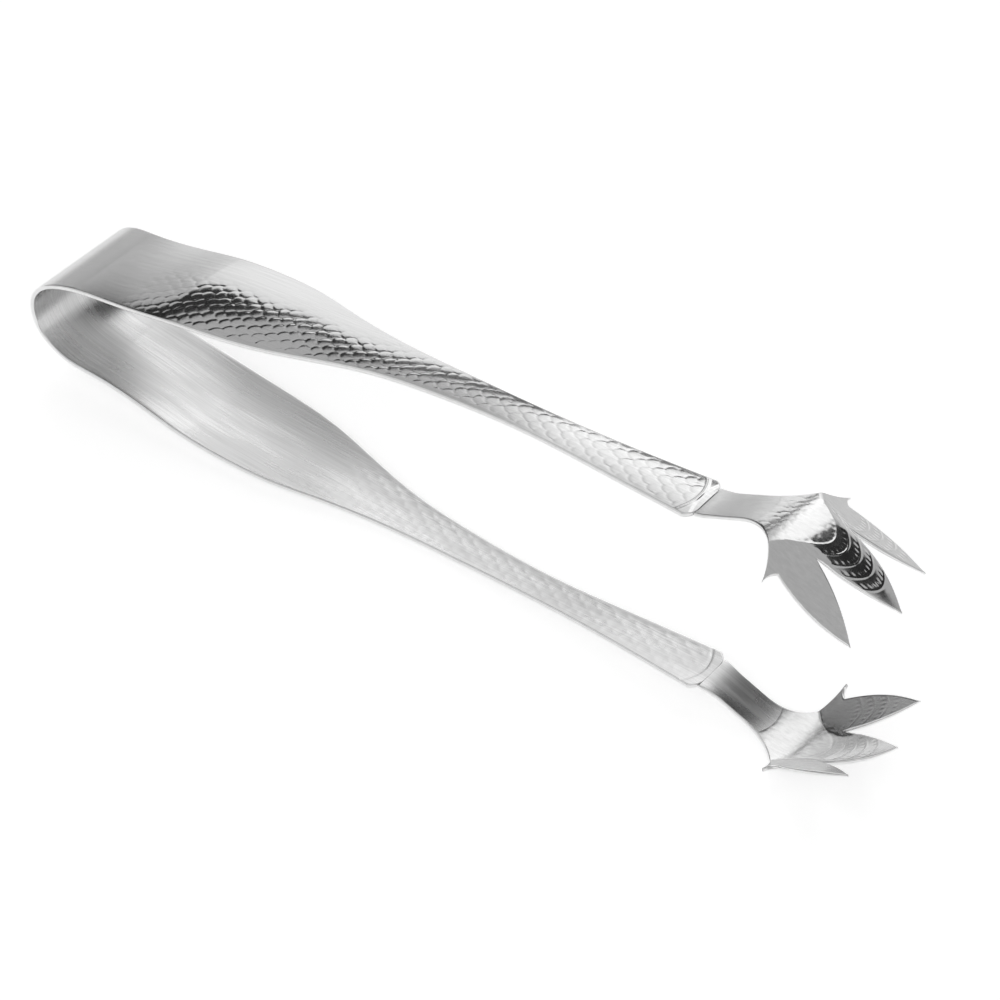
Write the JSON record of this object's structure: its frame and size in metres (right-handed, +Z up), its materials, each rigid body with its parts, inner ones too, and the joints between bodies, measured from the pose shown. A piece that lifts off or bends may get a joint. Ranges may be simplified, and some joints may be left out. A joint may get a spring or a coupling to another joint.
{
  "type": "ice tongs",
  "caption": "Spring-steel ice tongs with a U-shaped bow, domed scale-hammered handle arms and bird-claw ends that close on an ice cube.",
  "frame": {"origin": "middle of the bounding box in plan, on the surface that the tongs lie on", "axes": "+X from the bow to the claws, +Y across the strip, +Z up from the resting surface; the tongs lie on the lower arm and lower claw"},
  "size_m": [0.178, 0.0236, 0.048],
  "materials": {
    "satin_steel": "lengthwise brushed satin",
    "hammered_steel": "scale-hammered outside, brushed inside",
    "polished_steel": "smooth outside, brushed inside"
  },
  "bodies": {
    "bow": {"bow": "satin_steel"},
    "upper_arm": {"upper_arm": "hammered_steel", "upper_neck": "polished_steel", "upper_claw": "polished_steel"},
    "lower_arm": {"lower_arm": "hammered_steel", "lower_neck": "polished_steel", "lower_claw": "polished_steel"}
  },
  "joints": [
    {"name": "upper_arm_flex", "type": "hinge", "parent": "bow", "child": "upper_arm", "pos_m": [-0.07755, 0, 0.02214], "axis": [0, 1, 0], "range_deg": [0, 4.57], "stiffness_Nm_per_rad": 5.5},
    {"name": "lower_arm_flex", "type": "hinge", "parent": "bow", "child": "lower_arm", "pos_m": [-0.07615, 0, 0.00368], "axis": [0, -1, 0], "range_deg": [0, 4.57], "stiffness_Nm_per_rad": 5.5}
  ],
  "couplings": [
    {"joint": "lower_arm_flex", "follows": "upper_arm_flex", "ratio": 1}
  ]
}
